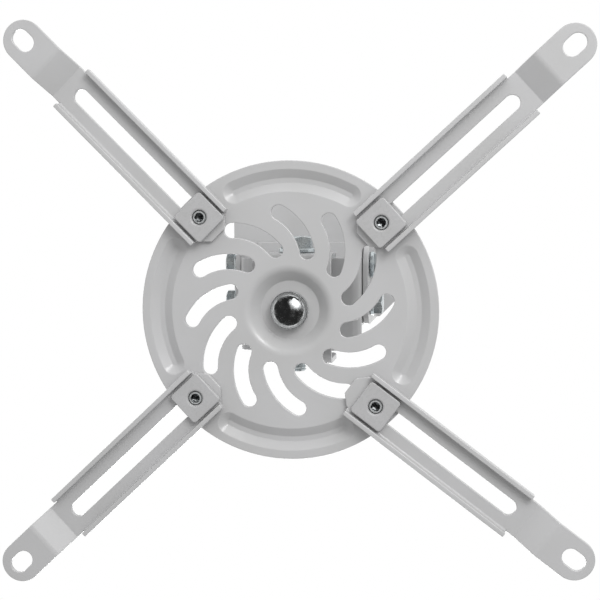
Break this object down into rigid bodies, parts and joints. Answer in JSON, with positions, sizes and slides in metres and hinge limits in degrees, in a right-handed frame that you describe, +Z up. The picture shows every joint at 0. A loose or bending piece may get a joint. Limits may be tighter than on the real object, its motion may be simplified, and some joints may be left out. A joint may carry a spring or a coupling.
{
  "type": "projector ceiling mount",
  "caption": "Projector ceiling mount: a slotted pressed disc with sliding and swinging channel arms, under a pitch, roll and swivel joint and a screw-on ceiling plate.",
  "frame": {"origin": "top face of the ceiling plate, straight above the disc's swivel axis", "axes": "+Z up to the ceiling, X along the pitch axis, front (-Y) where the ceiling plate stands out"},
  "size_m": [0.2516, 0.2399, 0.1024],
  "materials": {
    "powder_coat": "satin",
    "clamp_coat": "satin",
    "zinc_hardware": "zinc plated",
    "chrome_dome": "polished",
    "nylon": "matte"
  },
  "bodies": {
    "ceiling": {"ceiling_plate": "powder_coat", "stirrup": "powder_coat"},
    "pitch": {"pitch_bracket": "powder_coat", "pitch_lock_bolt_left": "zinc_hardware", "pitch_lock_bolt_right": "zinc_hardware", "pitch_lock_nut_left": "zinc_hardware", "pitch_lock_nut_right": "zinc_hardware", "pitch_lock_washer_left": "zinc_hardware", "pitch_lock_washer_right": "zinc_hardware", "pitch_pivot_bolt_left": "zinc_hardware", "pitch_pivot_bolt_right": "zinc_hardware", "pitch_pivot_nut_left": "zinc_hardware", "pitch_pivot_nut_right": "zinc_hardware", "pitch_pivot_washer_left": "zinc_hardware", "pitch_pivot_washer_right": "zinc_hardware", "roll_bolt": "zinc_hardware", "roll_washer": "zinc_hardware", "roll_weld_nut": "zinc_hardware"},
    "roll": {"friction_washer": "nylon", "roll_bracket": "powder_coat", "swivel_bolt": "chrome_dome", "swivel_nut": "zinc_hardware", "swivel_washer": "zinc_hardware"},
    "disc": {"clamp_nut_front_left": "zinc_hardware", "clamp_nut_front_right": "zinc_hardware", "clamp_nut_rear_left": "zinc_hardware", "clamp_nut_rear_right": "zinc_hardware", "clamp_screw_front_left": "zinc_hardware", "clamp_screw_front_right": "zinc_hardware", "clamp_screw_rear_left": "zinc_hardware", "clamp_screw_rear_right": "zinc_hardware", "disc": "powder_coat"},
    "arm_front_left": {"arm_front_left": "powder_coat"},
    "arm_front_right": {"arm_front_right": "powder_coat"},
    "arm_rear_left": {"arm_rear_left": "powder_coat"},
    "arm_rear_right": {"arm_rear_right": "powder_coat"},
    "clamp_front_left": {"clamp_front_left": "clamp_coat"},
    "clamp_front_right": {"clamp_front_right": "clamp_coat"},
    "clamp_rear_left": {"clamp_rear_left": "clamp_coat"},
    "clamp_rear_right": {"clamp_rear_right": "clamp_coat"}
  },
  "joints": [
    {"name": "pitch", "type": "hinge", "parent": "ceiling", "child": "pitch", "pos_m": [0, 0, -0.042], "axis": [1, 0, 0], "range_deg": [-15, 15]},
    {"name": "roll", "type": "hinge", "parent": "pitch", "child": "roll", "pos_m": [0, 0, -0.068], "axis": [0, 1, 0], "range_deg": [-8, 8]},
    {"name": "swivel", "type": "hinge", "parent": "roll", "child": "disc", "pos_m": [0, 0, -0.09], "axis": [0, 0, 1], "continuous": true},
    {"name": "swing_rear_right", "type": "hinge", "parent": "disc", "child": "clamp_rear_right", "pos_m": [0.03697, 0.03936, -0.0949], "axis": [0, 0, 1], "range_deg": [-30, 30]},
    {"name": "slide_rear_right", "type": "slide", "parent": "clamp_rear_right", "child": "arm_rear_right", "axis": [0.7986, 0.6018, 0], "range_m": [-0.027, 0.003]},
    {"name": "swing_rear_left", "type": "hinge", "parent": "disc", "child": "clamp_rear_left", "pos_m": [-0.03936, 0.03697, -0.0949], "axis": [0, 0, 1], "range_deg": [-30, 30]},
    {"name": "slide_rear_left", "type": "slide", "parent": "clamp_rear_left", "child": "arm_rear_left", "axis": [-0.729, 0.6845, 0], "range_m": [-0.03, 0]},
    {"name": "swing_front_left", "type": "hinge", "parent": "disc", "child": "clamp_front_left", "pos_m": [-0.03697, -0.03936, -0.0949], "axis": [0, 0, 1], "range_deg": [-30, 30]},
    {"name": "slide_front_left", "type": "slide", "parent": "clamp_front_left", "child": "arm_front_left", "axis": [-0.7059, -0.7083, 0], "range_m": [-0.03, 0]},
    {"name": "swing_front_right", "type": "hinge", "parent": "disc", "child": "clamp_front_right", "pos_m": [0.03936, -0.03697, -0.0949], "axis": [0, 0, 1], "range_deg": [-30, 30]},
    {"name": "slide_front_right", "type": "slide", "parent": "clamp_front_right", "child": "arm_front_right", "axis": [0.7385, -0.6743, 0], "range_m": [-0.03, 0]}
  ]
}
